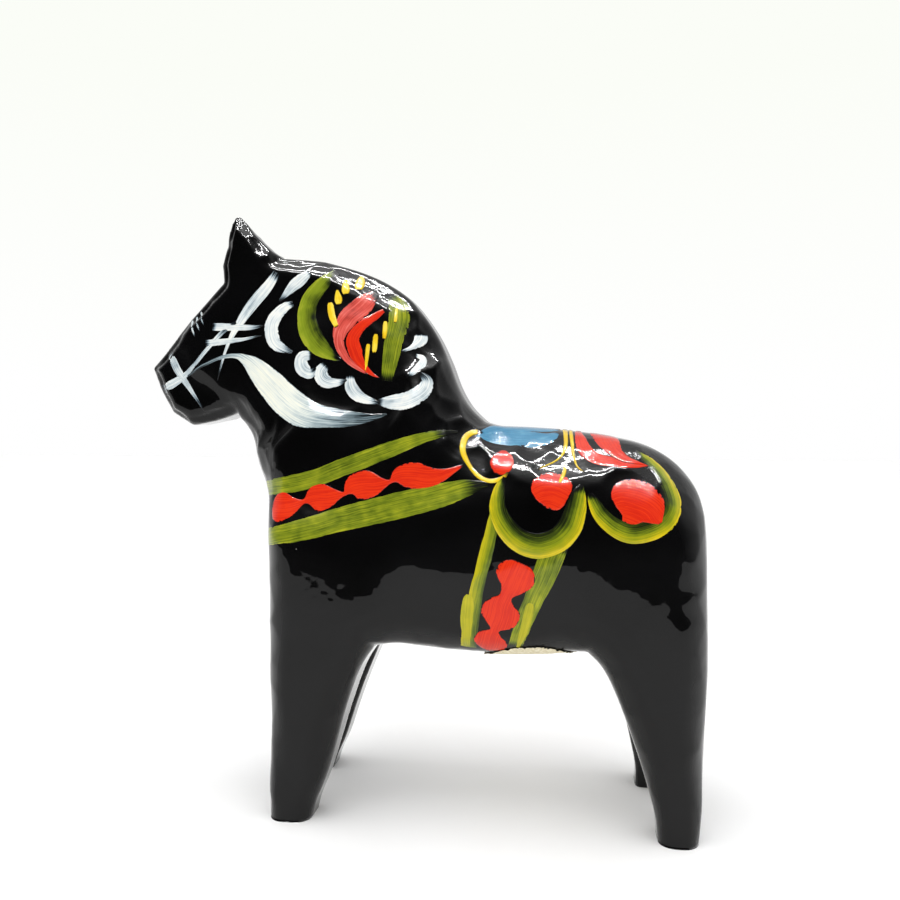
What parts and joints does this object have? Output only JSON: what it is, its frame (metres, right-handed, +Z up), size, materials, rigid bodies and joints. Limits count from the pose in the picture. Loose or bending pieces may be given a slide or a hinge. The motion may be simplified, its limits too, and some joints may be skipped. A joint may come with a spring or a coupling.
{
  "type": "dala horse",
  "caption": "Whittled wooden toy horse on four legs, lacquered black, with a painted harness, saddle and flowering mane.",
  "frame": {"origin": "on the surface the horse stands on, under the middle of its box", "axes": "-X towards the nose, +Z up from the soles to the ears, -Y towards the horse's left side"},
  "size_m": [0.1229, 0.0412, 0.13],
  "materials": {
    "black_lacquer": "high gloss varnish over black paint",
    "white_paint": "gloss",
    "olive_paint": "gloss",
    "yellow_paint": "gloss",
    "red_paint": "gloss",
    "blue_paint": "gloss",
    "label_paper": "matt paper"
  },
  "bodies": {
    "root": {"belly_label": "label_paper", "bridle_left": "white_paint", "bridle_right": "white_paint", "carved_body": "black_lacquer", "collar_band_lower_left": "olive_paint", "collar_band_lower_right": "olive_paint", "collar_band_upper_left": "olive_paint", "collar_band_upper_right": "olive_paint", "collar_ribbon_left": "red_paint", "collar_ribbon_right": "red_paint", "girth_band_front_left": "olive_paint", "girth_band_front_right": "olive_paint", "girth_band_rear_left": "olive_paint", "girth_band_rear_right": "olive_paint", "girth_ribbon_left": "red_paint", "girth_ribbon_right": "red_paint", "mane_bloom_left": "red_paint", "mane_bloom_right": "red_paint", "mane_comma_1_left": "white_paint", "mane_comma_1_right": "white_paint", "mane_comma_2_left": "white_paint", "mane_comma_2_right": "white_paint", "mane_comma_3_left": "white_paint", "mane_comma_3_right": "white_paint", "mane_comma_4_left": "white_paint", "mane_comma_4_right": "white_paint", "mane_comma_5_left": "white_paint", "mane_comma_5_right": "white_paint", "mane_comma_6_left": "white_paint", "mane_comma_6_right": "white_paint", "mane_comma_7_left": "white_paint", "mane_comma_7_right": "white_paint", "mane_comma_8_left": "white_paint", "mane_comma_8_right": "white_paint", "mane_leaf_front_left": "olive_paint", "mane_leaf_front_right": "olive_paint", "mane_leaf_rear_left": "olive_paint", "mane_leaf_rear_right": "olive_paint", "rein_left": "white_paint", "rein_right": "white_paint", "saddle_dot_front_left": "red_paint", "saddle_dot_front_right": "red_paint", "saddle_dot_middle_left": "red_paint", "saddle_dot_middle_right": "red_paint", "saddle_dot_rear_left": "red_paint", "saddle_dot_rear_right": "red_paint", "saddle_leaf_blue": "blue_paint", "saddle_petal_red_left": "red_paint", "saddle_petal_red_right": "red_paint", "saddle_ring_front_left": "yellow_paint", "saddle_ring_front_right": "yellow_paint", "saddle_ring_middle_left": "yellow_paint", "saddle_ring_middle_right": "yellow_paint", "saddle_ring_rear_left": "yellow_paint", "saddle_ring_rear_right": "yellow_paint"}
  },
  "joints": []
}
